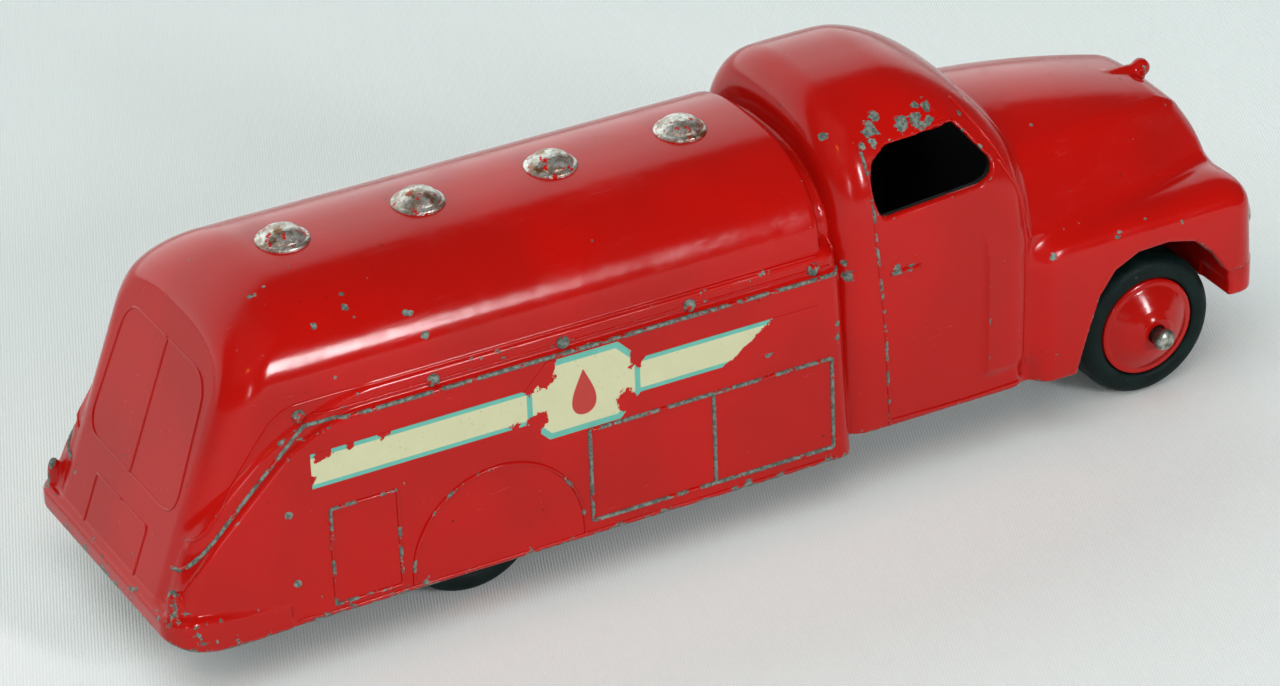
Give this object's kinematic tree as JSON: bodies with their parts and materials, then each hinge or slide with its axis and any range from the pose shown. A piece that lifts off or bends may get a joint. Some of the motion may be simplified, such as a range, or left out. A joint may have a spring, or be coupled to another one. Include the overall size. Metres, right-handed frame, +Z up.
{
  "type": "toy tanker truck",
  "caption": "Die-cast toy tanker truck with a domed cab, ribbed skirts, a round-topped tank with filler caps, free-rolling wheels on steel axles and a folded baseplate.",
  "frame": {"origin": "on the ground under the middle of the truck's bounding box", "axes": "+X towards the truck's nose, +Y towards its left side, +Z up"},
  "size_m": [0.112, 0.0292, 0.038],
  "materials": {
    "red_enamel": "gloss stoved enamel, chipped to bare grey zinc on edges",
    "black_enamel": "satin black enamel on tinplate, rubbed at the folds",
    "transfer": "thin matt printed film, cream with blue-green borders, torn at the ends",
    "axle_steel": "dull plated steel wire, tarnished",
    "hub_enamel": "gloss red enamel on cast hub",
    "rubber": "aged matt black rubber, smooth tread"
  },
  "bodies": {
    "truck": {"body_casting": "red_enamel", "baseplate": "black_enamel", "transfer_left": "transfer", "transfer_right": "transfer"},
    "front_axle_set": {"front_axle": "axle_steel"},
    "rear_axle_set": {"rear_axle": "axle_steel"},
    "front_left_wheel": {"front_left_hub": "hub_enamel", "front_left_tyre": "rubber"},
    "front_right_wheel": {"front_right_hub": "hub_enamel", "front_right_tyre": "rubber"},
    "rear_left_wheel": {"rear_left_hub": "hub_enamel", "rear_left_tyre": "rubber"},
    "rear_right_wheel": {"rear_right_hub": "hub_enamel", "rear_right_tyre": "rubber"}
  },
  "joints": [
    {"name": "front_axle_spin", "type": "hinge", "parent": "truck", "child": "front_axle_set", "pos_m": [0.0449, 0, 0.00706], "axis": [0, 1, 0], "continuous": true},
    {"name": "rear_axle_spin", "type": "hinge", "parent": "truck", "child": "rear_axle_set", "pos_m": [-0.0249, 0, 0.00706], "axis": [0, 1, 0], "continuous": true},
    {"name": "front_left_wheel_spin", "type": "hinge", "parent": "front_axle_set", "child": "front_left_wheel", "pos_m": [0.0449, 0.009, 0.00706], "axis": [0, 1, 0], "continuous": true},
    {"name": "front_right_wheel_spin", "type": "hinge", "parent": "front_axle_set", "child": "front_right_wheel", "pos_m": [0.0449, -0.009, 0.00706], "axis": [0, 1, 0], "continuous": true},
    {"name": "rear_left_wheel_spin", "type": "hinge", "parent": "rear_axle_set", "child": "rear_left_wheel", "pos_m": [-0.0249, 0.0076, 0.00706], "axis": [0, 1, 0], "continuous": true},
    {"name": "rear_right_wheel_spin", "type": "hinge", "parent": "rear_axle_set", "child": "rear_right_wheel", "pos_m": [-0.0249, -0.0076, 0.00706], "axis": [0, 1, 0], "continuous": true}
  ]
}
